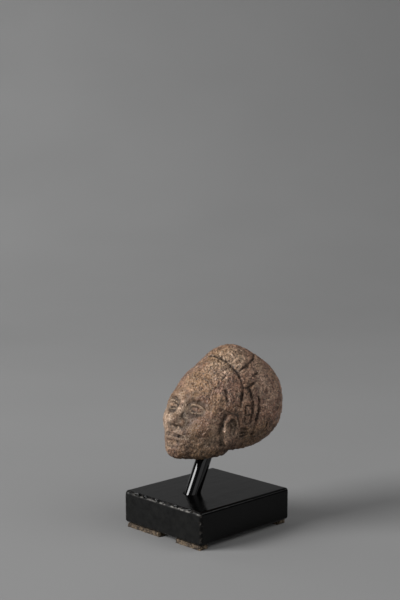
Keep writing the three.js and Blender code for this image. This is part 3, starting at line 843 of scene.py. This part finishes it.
def grid_cube(segments: int) -> bmesh.types.BMesh:
    """A cube from -1 to 1 with each side a square grid of faces."""
    bm = bmesh.new()
    bmesh.ops.create_cube(bm, size=2)
    bmesh.ops.subdivide_edges(bm, edges=bm.edges[:], cuts=segments - 1, use_grid_fill=True)
    return bm


def places(bm: bmesh.types.BMesh) -> Array:
    """Where the mesh's vertices are."""
    bm.verts.ensure_lookup_table()
    return np.array([v.co for v in bm.verts], float)


def move_to(bm: bmesh.types.BMesh, points: Array) -> None:
    """Moves the mesh's vertices to points, in order."""
    for vertex, point in zip(bm.verts, points, strict=True):
        vertex.co = point


def carry(bm: bmesh.types.BMesh, name: str, values: Array) -> None:
    """Gives the mesh a number at each vertex, which a finish reads by name."""
    layer = bm.verts.layers.float.new(name)
    for vertex, value in zip(bm.verts, values, strict=True):
        vertex[layer] = float(value)


def noise_at(points: Array, size: float, octaves: int = 3, seed: float = 0, stretch: Point = (1, 1, 1)) -> Array:
    """Smooth noise from about -1 to 1.

    Args:
        points: The places.
        size: How large its largest forms are, in millimetres.
        octaves: How many times finer forms are added.
        seed: Which noise.
        stretch: How many times longer its forms are along each axis.

    Returns:
        The noise at each place.
    """
    scaled = points / (size * np.array(stretch)) + seed
    return np.array([noise.fractal(p, 1.0, 2.0, octaves) for p in scaled])


def drill(bm: bmesh.types.BMesh, start: Vector, out: Vector, radius: float, depth: float, window: float) -> None:
    """Drills a round blind hole.

    Args:
        bm: The mesh.
        start: Where the hole's axis leaves the surface.
        out: The way out of the hole.
        radius: The hole's radius.
        depth: How deep its flat bottom lies below start.
        window: How far along the axis from start the surface is looked for.
    """

    def off_axis(place: Vector) -> tuple[float, Vector]:
        along = (place - start).dot(out)
        return along, place - start - out * along

    doomed = []
    for face in bm.faces:
        along, off = off_axis(face.calc_center_median())
        if off.length < radius and abs(along) < window:
            doomed.append(face)
    bmesh.ops.delete(bm, geom=doomed, context="FACES")
    rim = [edge for edge in bm.edges if edge.is_boundary]
    for vertex in {v for edge in rim for v in edge.verts}:
        _, off = off_axis(vertex.co)
        vertex.co += off.normalized() * (radius - off.length)
    wall = bmesh.ops.extrude_edge_only(bm, edges=rim)["geom"]
    for vertex in [g for g in wall if isinstance(g, bmesh.types.BMVert)]:
        along, _ = off_axis(vertex.co)
        vertex.co -= out * (along + depth)
    floor = [g for g in wall if isinstance(g, bmesh.types.BMEdge) and g.is_boundary]
    bmesh.ops.holes_fill(bm, edges=floor, sides=0)


@dataclass(frozen=True)
class RodLine:
    """The rod's axis, which the plinth, the rod and the head share."""

    foot: Point = (0, -13.3, 24.5)
    lean: float = 26
    radius: float = 5
    clearance: float = 0.3
    in_plinth: float = 13
    shown: float = 24.5
    in_neck: float = 14

    @property
    def axis(self) -> Vector:
        """The way up the rod."""
        return Vector((0, math.sin(math.radians(self.lean)), math.cos(math.radians(self.lean))))

    def at(self, along: float) -> Vector:
        """The place on the axis so far up from the foot."""
        return Vector(self.foot) + self.axis * along


@dataclass
class CarvedHead:
    """The head: one stone, its forms cast from a ball of fine faces, with the strokes and the tool marks."""

    rod: RodLine
    stone: HeadStone = field(default_factory=HeadStone)
    middle: Point = (0, 14.5, 81)
    segments: int = 128
    cast_from: float = 78
    cast_rounds: int = 45
    easing_rounds: int = 14
    easing: float = 0.5
    ear_middle: Point = (28, -5, 70)
    stroke_step: float = 1.0
    purple: tuple[Patch, ...] = (
        Patch((20, -8, 100), 20, 0.9),
        Patch((30, 28, 88), 26, 0.9),
        Patch((0, 45, 90), 34, 0.7),
        Patch((-28, 20, 90), 28, 0.6),
    )
    ochre: tuple[Patch, ...] = (
        Patch((4, -14, 100), 16, 0.9),
        Patch((6, 8, 113), 15, 0.9),
        Patch((22, -12, 88), 8, 0.8),
        Patch((14, -20, 57), 16, 0.9),
        Patch((26, 18, 60), 18, 0.6),
        Patch((-12, -20, 80), 20, 0.6),
    )
    # Dirt patches that also paint shade: they darken the stone by the ears, along and under the jaw and low on the back
    # of the head.
    soil_and_shade: tuple[Patch, ...] = (
        Patch((28, 1, 68), 13, 0.55),
        Patch((-28, 1, 68), 13, 0.55),
        Patch((26, 18, 56), 14, 0.3),
        Patch((18, -6, 54), 16, 0.7),
        Patch((-18, -6, 54), 16, 0.7),
        Patch((0, 14, 50), 20, 0.6),
        Patch((27, -12, 78), 9, 0.35),
        Patch((12, -22, 55), 18, 1.0),
        Patch((-11, -24, 56), 12, 0.5),
    )
    # Paler, rubbed stone; on the front-left of the face these patches also paint light where the key light falls.
    pale: tuple[Patch, ...] = (
        Patch((-4, -26, 78), 15, 0.9),
        Patch((-14, -22, 72), 14, 0.8),
        Patch((12, -1, 107), 11, 0.5),
        Patch((12, 13, 112), 12, 0.65),
        Patch((29, 25, 93), 13, 0.4),
        Patch((20, 26, 104), 10, 0.3),
        Patch((24, -12, 66), 12, 0.5),
    )

    def cast(self, directions: Array) -> Array:
        """Draws a ball in onto the stone.

        Args:
            directions: The way to each vertex of the ball from the stone's middle.

        Returns:
            The vertices on the stone.
        """
        middle = np.array(self.middle)
        reach = np.full(len(directions), float(self.cast_from))
        for _ in range(self.cast_rounds):
            reach -= 0.8 * self.stone.distance(middle + directions * reach[:, None])
        return middle + directions * reach[:, None]

    def eased(self, points: Array, edges: Array) -> Array:
        """Slides the vertices along the stone until they lie evenly.

        Args:
            points: The vertices.
            edges: The two vertices of each edge.

        Returns:
            The moved vertices.
        """
        a, b = edges.T
        count = np.bincount(a, minlength=len(points)) + np.bincount(b, minlength=len(points))
        for _ in range(self.easing_rounds):
            total = np.zeros_like(points)
            for k in range(3):
                total[:, k] = np.bincount(a, points[b, k], len(points)) + np.bincount(b, points[a, k], len(points))
            move = total / count[:, None] - points
            out = self.stone.outward(points)
            move -= np.sum(move * out, 1, keepdims=True) * out
            points = points + self.easing * move
            points -= 0.9 * self.stone.distance(points)[:, None] * out
        return self.stone.settle(points, 2)

    def groove(self, stroke: Stroke, points: Array) -> Array:
        """How deep one stroke cuts at each place.

        Args:
            stroke: The stroke.
            points: Places on the stone.

        Returns:
            The depth of the cut there, with a hand's unevenness in its width and line.
        """
        stops = [np.array(stroke.points[0], float)]
        for start, end in zip(stroke.points, stroke.points[1:]):
            steps = max(1, round(math.dist(start, end) / self.stroke_step))
            stops += [np.array(start) + (np.array(end) - np.array(start)) * k / steps for k in range(1, steps + 1)]
        path = self.stone.settle(np.array(stops), 4)
        depth = np.zeros(len(points))
        reach = stroke.width * 1.6
        near = np.all((points > path.min(0) - reach) & (points < path.max(0) + reach), axis=1)
        if not near.any():
            return depth
        places_near = points[near]
        best = np.full(len(places_near), np.inf)
        along = np.zeros(len(places_near))
        travelled = np.concatenate([[0], np.cumsum(np.linalg.norm(np.diff(path, axis=0), axis=1))])
        for i in range(len(path) - 1):
            step = path[i + 1] - path[i]
            rel = places_near - path[i]
            t = np.clip(rel @ step / (step @ step), 0, 1)
            away = np.linalg.norm(rel - t[:, None] * step, axis=1)
            closer = away < best
            best[closer] = away[closer]
            along[closer] = travelled[i] + t[closer] * (travelled[i + 1] - travelled[i])
        seed = 3.7 * path[0][0] + path[0][2]
        waver = noise_at(places_near, 5, 2, seed)
        best = best + 0.35 * noise_at(places_near, 1.7, 2, seed + 9)
        half = stroke.width / 2 * (1 + 0.3 * waver)
        taper = ramp(np.minimum(along, travelled[-1] - along), -0.8, 2.5)
        wall = np.clip(1 - np.maximum(best, 0) / half, 0, 1)
        wall = wall * (2 - wall) * 0.4 + wall * 0.6
        depth[near] = stroke.depth * (1 + 0.3 * waver) * taper * wall
        return depth

    def relief(self, points: Array) -> Array:
        """What the tools and the wear leave on the surface: broad planes, scrape marks and a fine roughness.

        Args:
            points: Places on the stone.

        Returns:
            How far each place stands out, in millimetres.
        """
        features = np.linalg.norm(self.stone.face.inside(points) - np.array((0, 2, -9)), axis=1)
        by_ear = np.linalg.norm(np.abs(points) * (1, 0, 0) + points * (0, 1, 1) - np.array(self.ear_middle), axis=1)
        quiet = (0.25 + 0.75 * ramp(features, 14, 26)) * (0.3 + 0.7 * ramp(by_ear, 9, 15))
        planes = noise_at(points, 11, 1, 5) * 0.35
        scoops = np.abs(noise_at(points, 4.8, 2, 8)) * -1.2
        scrapes = noise_at(points @ SCRAPE_TURN, 1.6, 2, 11, (1, 5, 1)) * 0.24
        rough = noise_at(points, 2.2, 3, 23) * 0.2
        return (planes + scoops + scrapes) * quiet + rough * (0.4 + 0.6 * quiet) - 0.1

    @staticmethod
    def patches(points: Array, patches: Sequence[Patch], seed: float) -> Array:
        """How strongly the patches tell at each place, with ragged edges."""
        ragged = noise_at(points, 7, 4, seed)
        value = np.zeros(len(points))
        for patch in patches:
            away = np.linalg.norm(points - np.array(patch.centre), axis=1) / patch.reach
            value = np.maximum(value, patch.strength * ramp(away + 0.45 * ragged, 1.1, 0.35))
        return value

    def mesh(self, room: tuple[Array, Array]) -> bmesh.types.BMesh:
        """The head's mesh.

        Args:
            room: The corners of the box that it stays in.

        Returns:
            The mesh, with the numbers that the finish reads.
        """
        bm = grid_cube(self.segments)
        corners = places(bm)
        spread = np.tan(corners * math.pi / 4)
        directions = spread / np.linalg.norm(spread, axis=1, keepdims=True)
        edges = np.array([[v.index for v in edge.verts] for edge in bm.edges])
        points = self.eased(self.cast(directions), edges)
        out = self.stone.outward(points)
        cut_depth = np.zeros(len(points))
        for stroke in cap_strokes() + nicks(self.stone):
            cut_depth = np.maximum(cut_depth, self.groove(stroke, points))
        open_air = self.stone.distance(points + 2.5 * out)
        nearby_air = self.stone.distance(points + 0.9 * out)
        buried = -self.stone.distance(points - 1.5 * out)
        ragged = noise_at(points, 2.2, 3, 91)
        # Painted shade: the stone darkens where little open air lies over it, in hollows and creases, and in the cuts,
        # which also hold real dirt.
        grime_and_shade = 0.34 * ramp(2.5 - open_air, 0.1, 1.1) + 0.6 * ramp(0.9 - nearby_air, 0.04, 0.28)
        grime_and_shade += 0.95 * ramp(cut_depth + 0.12 * ragged, 0.12, 0.75)
        # Dirt, with painted shade by the ears, under the jaw and low on the head.
        soil_and_shade = self.patches(points, self.soil_and_shade, 67) * (0.7 + 0.6 * ragged)
        # Painted shade: the stone is darker where it faces down.
        under = 0.5 * ramp(-out[:, 2], 0.05, 0.75)
        grime_and_shade = 1 - (1 - np.clip(grime_and_shade, 0, 1)) * (1 - np.clip(0.6 * soil_and_shade, 0, 1)) * (1 - under)
        # Ridges and the lips of the cuts: rubbed lighter by handling, and lightened further as a painted highlight
        # where edges catch the light.
        lip = ramp(cut_depth, 0.0, 0.08) * (1 - ramp(cut_depth, 0.15, 0.4))
        ridge_wear_and_highlight = ramp(1.5 - buried + 0.15 * ragged, 0.12, 0.6) + 0.6 * lip
        moved = points + out * (self.relief(points) - cut_depth)[:, None]
        move_to(bm, np.clip(moved, *room))
        carry(bm, "grime_and_shade", np.clip(grime_and_shade, 0, 1))
        carry(bm, "ridge_wear_and_highlight", np.clip(ridge_wear_and_highlight, 0, 1))
        features = np.linalg.norm(self.stone.face.inside(points) - np.array((0, 2, -9)), axis=1)
        carry(bm, "coarse", ramp(features, 16, 34))
        carry(bm, "purple", self.patches(points, self.purple, 31))
        carry(bm, "ochre", self.patches(points, self.ochre, 47))
        # Pale patches: rubbed stone, with painted light on the face's front-left.
        carry(bm, "pale", self.patches(points, self.pale, 59))
        socket = self.rod.at(self.rod.shown)
        drill(bm, socket, -self.rod.axis, self.rod.radius + self.rod.clearance, self.rod.in_neck + 0.3, 7)
        return bm

    def build(self, shop: Workshop) -> bpy.types.Object:
        """The head as a piece."""
        return shop.piece(self.mesh(shop.room("head")), "carved_head", "head", "steatite", Steatite().build())


SCRAPE_TURN = np.array(Matrix.Rotation(math.radians(35), 3, "X"))


@dataclass(frozen=True)
class RoundedBlock(Surface):
    """A block with its edges rounded, less what is cut out of it."""

    centre: Point
    half: Point
    radius: float
    cuts: tuple[Form, ...] = ()

    def distance(self, points: Array) -> Array:
        """The distance from each point to the block."""
        q = np.abs(points - np.array(self.centre)) - (np.array(self.half) - self.radius)
        d = np.linalg.norm(np.maximum(q, 0), axis=1) + np.minimum(q.max(1), 0) - self.radius
        return worked(d, self.cuts, points)

    def wrapped(self, cube: Array, band: float) -> Array:
        """Wraps a cube of fine faces round the block.

        Args:
            cube: Vertices of a cube from -1 to 1.
            band: The share of the faces on each side that go to each rounded edge.

        Returns:
            The vertices on the block, before anything is cut out.
        """
        half = np.array(self.half)
        inner = half - self.radius * 1.6
        size = np.abs(cube)
        flat = size / (1 - 2 * band) * inner
        edge = inner + (size - (1 - 2 * band)) / (2 * band) * (half - inner)
        spread = np.sign(cube) * np.where(size < 1 - 2 * band, flat, edge)
        core = np.clip(spread, -(half - self.radius), half - self.radius)
        off = spread - core
        length = np.linalg.norm(off, axis=1, keepdims=True)
        rounded = core + off / np.maximum(length, TINY) * self.radius
        return np.array(self.centre) + np.where(length > TINY, rounded, spread)


@dataclass
class Plinth:
    """The wooden block, lacquered black, with bruises along its front upper edge."""

    rod: RodLine
    width: float = 72
    depth: float = 82
    height: float = 21.5
    base: float = 3
    edge: float = 2.2
    segments: int = 112
    band: float = 0.12
    chips: tuple[tuple[float, float, float], ...] = (
        (-23, 7, 1.1),
        (-15.5, 4, 0.9),
        (-5, 6, 1.0),
        (13, 4.5, 0.9),
        (26, 5, 0.9),
    )
    chip_height: float = 1.1

    def block(self) -> RoundedBlock:
        """The block with its bruises, each given by its x, its length and its bite."""
        top = self.base + self.height
        cuts = []
        for x, length, bite in self.chips:
            centre = (x, -self.depth / 2 + 0.35 * self.edge, top - 0.3 * self.edge)
            cuts.append(cut(Lump(centre, (length / 2, bite, self.chip_height)), 0.5))
        half = (self.width / 2, self.depth / 2, self.height / 2)
        return RoundedBlock((0, 0, self.base + self.height / 2), half, self.edge, tuple(cuts))

    def mesh(self) -> bmesh.types.BMesh:
        """The plinth's mesh."""
        bm = grid_cube(self.segments)
        block = self.block()
        points = block.wrapped(places(bm), self.band)
        plain = RoundedBlock(block.centre, block.half, block.radius)
        out = plain.outward(points)
        for _ in range(12):
            points = points - 0.9 * block.distance(points)[:, None] * out
        half = np.array(block.half)
        off = np.abs(points - np.array(block.centre)) / half
        sharp = np.sort((1 - off) * half, axis=1)[:, 1]
        on_edge = 1 - ramp(sharp, 0.4, 2.6)
        front = ramp(-points[:, 1], self.depth / 2 - 4, self.depth / 2 - 1)
        knocks = np.clip(noise_at(points, 2.4, 3, 71) - 0.1, 0, 1) * (0.15 + 0.6 * front)
        upper = ramp(points[:, 2], self.base + self.height - 3, self.base + self.height - 1.6)
        # Painted highlight along the bevel of the front upper edge, where it faces the light, broken by chips and
        # brighter towards +x.
        rim = np.exp(-(((out[:, 2] - 0.42) / 0.2) ** 2)) * upper * ramp(-out[:, 1], 0.5, 0.8)
        broken = ramp(noise_at(points, 2.6, 3, 77), -0.15, 0.25)
        ripple = noise_at(points, 14, 2, 83) * 0.05
        moved = points + out * (ripple - on_edge * knocks)[:, None]
        low, high = np.array(block.centre) - half, np.array(block.centre) + half
        move_to(bm, np.clip(moved, low, high))
        carry(bm, "wear", on_edge * ramp(knocks, 0.04, 0.25))
        carry(bm, "painted_edge_highlight", 0.85 * rim * broken * (0.35 + 0.65 * ramp(points[:, 0], -25, 25)))
        carry(bm, "end_grain", ramp(np.abs(out[:, 1]), 0.55, 0.95))
        hole = self.rod.at(0)
        drill(bm, hole, self.rod.axis, self.rod.radius + self.rod.clearance, self.rod.in_plinth + 0.3, 4)
        return bm

    def build(self, shop: Workshop) -> bpy.types.Object:
        """The plinth as a piece."""
        return shop.piece(self.mesh(), "plinth_block", "plinth", "plinth", BlackLacquer().build())


@dataclass
class MountingRod:
    """The rod, round and glossy, its ends eased."""

    line: RodLine
    sides: int = 96
    rings: int = 24
    ease: float = 0.4

    def mesh(self) -> bmesh.types.BMesh:
        """The rod's mesh."""
        line = self.line
        length = line.in_plinth + line.shown + line.in_neck
        bm = bmesh.new()
        ends = {"radius1": line.radius, "radius2": line.radius, "depth": length}
        bmesh.ops.create_cone(bm, cap_ends=True, segments=self.sides, **ends)
        walls = [e for e in bm.edges if abs(e.verts[0].co.z - e.verts[1].co.z) > length / 2]
        rims = [e for e in bm.edges if e not in set(walls)]
        settings = {"offset": self.ease, "segments": 3, "profile": 0.5, "affect": "EDGES", "material": -1}
        bmesh.ops.bevel(bm, geom=rims, **settings)
        long_edges = [e for e in bm.edges if e.calc_length() > length / 2]
        bmesh.ops.subdivide_edges(bm, edges=long_edges, cuts=self.rings, use_grid_fill=True)
        turn = Vector((0, 0, 1)).rotation_difference(line.axis).to_matrix().to_4x4()
        middle = line.at((line.shown + line.in_neck - line.in_plinth) / 2)
        bmesh.ops.transform(bm, matrix=Matrix.Translation(middle) @ turn, verts=bm.verts[:])
        return bm

    def build(self, shop: Workshop) -> bpy.types.Object:
        """The rod as a piece."""
        return shop.piece(self.mesh(), "rod", "mounting_rod", "rod", BlackEnamel().build())


@dataclass
class CorkStrip:
    """One strip of cork under the plinth, cut by hand, so its edges waver."""

    node: str
    start: float
    end: float
    middle: float
    depth: float
    thickness: float = 2.7
    segments: int = 24

    def mesh(self) -> bmesh.types.BMesh:
        """The strip's mesh."""
        bm = grid_cube(self.segments)
        half = ((self.end - self.start) / 2, self.depth / 2, self.thickness / 2)
        block = RoundedBlock(((self.start + self.end) / 2, self.middle, self.thickness / 2), half, 0.5)
        points = block.wrapped(places(bm), 0.12)
        out = block.outward(points)
        side = 1 - np.abs(out[:, 2])
        torn = np.abs(noise_at(points, 3.2, 3, self.start)) * 1.7 * side
        moved = points - out * torn[:, None]
        move_to(bm, moved)
        return bm

    def build(self, shop: Workshop, material: bpy.types.Material) -> bpy.types.Object:
        """The strip as a piece."""
        return shop.piece(self.mesh(), "cork_" + self.node.removeprefix("pad_"), self.node, "cork", material)


CORK_STRIPS = (
    CorkStrip("pad_front_left", -33.7, -2.9, -36.7, 7.6),
    CorkStrip("pad_front_right", 11.9, 34.6, -36.6, 7.4),
    CorkStrip("pad_back_left", -33.5, -5.0, 36.2, 7.6),
    CorkStrip("pad_back_right", 8.0, 33.5, 36.3, 7.4),
)


@dataclass(frozen=True)
class Softbox:
    """A large soft light: the way to it from what it is turned to, how far, how wide and high, and how strong."""

    name: str
    azimuth: float
    elevation: float
    distance: float
    size: tuple[float, float]
    power: float
    colour: str = "ffffff"
    aim: Point = (0, 0, 0.08)


@dataclass
class Studio:
    """Pale seamless paper, soft light and the camera."""

    shop: Workshop
    camera_at: Point = (548.1, -540.4, 249.4)
    pitch: float = 7.35
    azimuth: float = 45.75
    lens: float = 72
    sensor: float = 36
    ambient: float = 0.05
    lights: tuple[Softbox, ...] = (
        Softbox("key", -26, 28, 2.4, (1.25, 1.25), 52),
        Softbox("fill", 80, 25, 1.6, (1.9, 1.4), 4.0),
        Softbox("back", 130, 46, 1.8, (1.1, 1.1), 5.5),
        Softbox("backdrop", 10, 40, 1.2, (1.6, 0.6), 3.5, aim=(-1.4, 1.0, 0.4)),
    )

    def camera(self) -> None:
        """The camera, at the place and angle from which the object is seen."""
        data = bpy.data.cameras.new("camera")
        data.lens, data.sensor_width, data.sensor_fit = self.lens, self.sensor, "AUTO"
        data.clip_start, data.clip_end = 0.05, 20
        camera = bpy.data.objects.new("camera", data)
        camera.location = self.shop.origin + Vector(self.camera_at) * MM
        camera.rotation_euler = (math.radians(90 - self.pitch), 0, math.radians(self.azimuth))
        bpy.context.scene.collection.objects.link(camera)
        bpy.context.scene.camera = camera

    def paper(self) -> None:
        """The floor, which sweeps up behind into the backdrop."""
        bm = bmesh.new()
        bmesh.ops.create_grid(bm, x_segments=1, y_segments=1, size=6)
        far = [e for e in bm.edges if all(v.co.y > 5 for v in e.verts)]
        for vertex in {v for e in far for v in e.verts}:
            vertex.co.y = 0.85
        sweep = bmesh.ops.spin(
            bm,
            geom=far,
            cent=(0, 0.85, 1.5),
            axis=(1, 0, 0),
            dvec=(0, 0, 0),
            angle=math.radians(90),
            steps=24,
            use_duplicate=False,
        )
        last = [g for g in sweep["geom_last"] if isinstance(g, bmesh.types.BMEdge)]
        wall = bmesh.ops.extrude_edge_only(bm, edges=last)["geom"]
        for vertex in [g for g in wall if isinstance(g, bmesh.types.BMVert)]:
            vertex.co.z += 4
        bmesh.ops.recalc_face_normals(bm, faces=bm.faces[:])
        bmesh.ops.rotate(bm, matrix=Matrix.Rotation(math.radians(self.azimuth), 3, "Z"), verts=bm.verts[:])
        for face in bm.faces:
            face.smooth = True
        mesh = bpy.data.meshes.new("paper")
        bm.to_mesh(mesh)
        bm.free()
        mesh.materials.append(StudioPaper().build())
        paper = bpy.data.objects.new("paper", mesh)
        bpy.context.scene.collection.objects.link(paper)

    def light(self, box: Softbox) -> None:
        """One softbox, turned towards the head."""
        data = bpy.data.lights.new(box.name, "AREA")
        data.shape = "RECTANGLE"
        data.size, data.size_y = box.size
        data.energy = box.power
        data.color = to_linear(box.colour)[:3]
        lamp = bpy.data.objects.new(box.name, data)
        a, e = math.radians(box.azimuth), math.radians(box.elevation)
        back = Vector((math.sin(a) * math.cos(e), -math.cos(a) * math.cos(e), math.sin(e)))
        lamp.location = Vector(box.aim) + back * box.distance
        lamp.rotation_euler = back.to_track_quat("Z", "Y").to_euler()
        bpy.context.scene.collection.objects.link(lamp)

    def build(self) -> None:
        """The whole studio."""
        world = bpy.data.worlds.new("studio")
        world.use_nodes = True
        background = world.node_tree.nodes["Background"]
        background.inputs["Color"].default_value = to_linear("e6e8ea")
        background.inputs["Strength"].default_value = self.ambient
        bpy.context.scene.world = world
        bpy.context.scene.view_settings.view_transform = "Standard"
        self.paper()
        for box in self.lights:
            self.light(box)
        self.camera()


def main() -> None:
    """Builds the pieces in order, then the studio."""
    logging.basicConfig(level=logging.INFO, format="%(message)s")
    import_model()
    shop = Workshop()
    line = RodLine()
    CarvedHead(line).build(shop)
    MountingRod(line).build(shop)
    Plinth(line).build(shop)
    cork = Cork().build()
    for strip in CORK_STRIPS:
        strip.build(shop, cork)
    Studio(shop).build()


if __name__ == "__main__":
    main()
